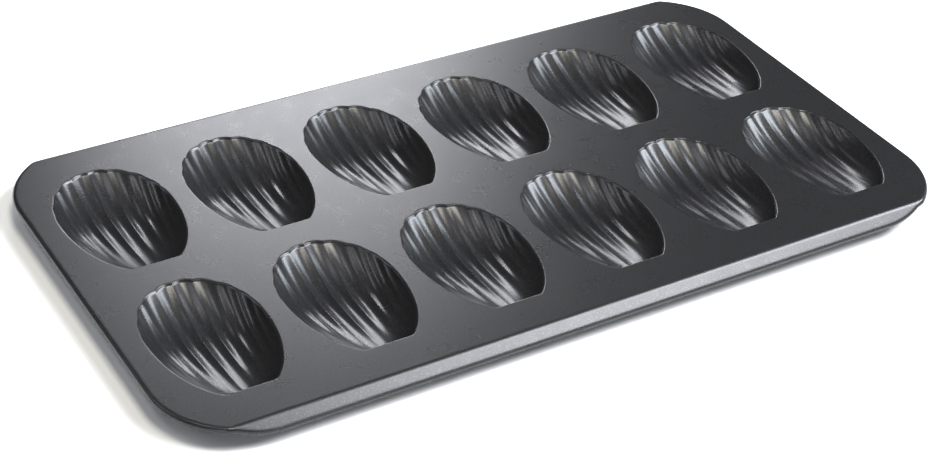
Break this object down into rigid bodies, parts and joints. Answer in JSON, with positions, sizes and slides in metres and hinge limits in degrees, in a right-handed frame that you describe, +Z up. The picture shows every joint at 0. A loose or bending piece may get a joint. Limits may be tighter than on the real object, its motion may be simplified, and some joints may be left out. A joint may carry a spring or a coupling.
{
  "type": "madeleine pan",
  "caption": "Pressed steel baking pan with rows of fluted shell-shaped cups, a flat deck, two folded long sides and a rolled, wired rim.",
  "frame": {"origin": "under the middle of the pan, in the plane that its cups stand on", "axes": "+X along the long side, +Y towards the scalloped ends of the cups, +Z up out of the cups"},
  "size_m": [0.4, 0.2296, 0.0127],
  "materials": {
    "coated_sheet": "satin dark grey non-stick coating",
    "rim_wire": "plain drawn wire"
  },
  "bodies": {
    "root": {"deck": "coated_sheet", "shell_cup_front_1": "coated_sheet", "shell_cup_front_2": "coated_sheet", "shell_cup_front_3": "coated_sheet", "shell_cup_front_4": "coated_sheet", "shell_cup_front_5": "coated_sheet", "shell_cup_front_6": "coated_sheet", "shell_cup_back_1": "coated_sheet", "shell_cup_back_2": "coated_sheet", "shell_cup_back_3": "coated_sheet", "shell_cup_back_4": "coated_sheet", "shell_cup_back_5": "coated_sheet", "shell_cup_back_6": "coated_sheet", "front_flange": "coated_sheet", "back_flange": "coated_sheet", "rolled_rim": "coated_sheet", "rim_wire": "rim_wire"}
  },
  "joints": []
}
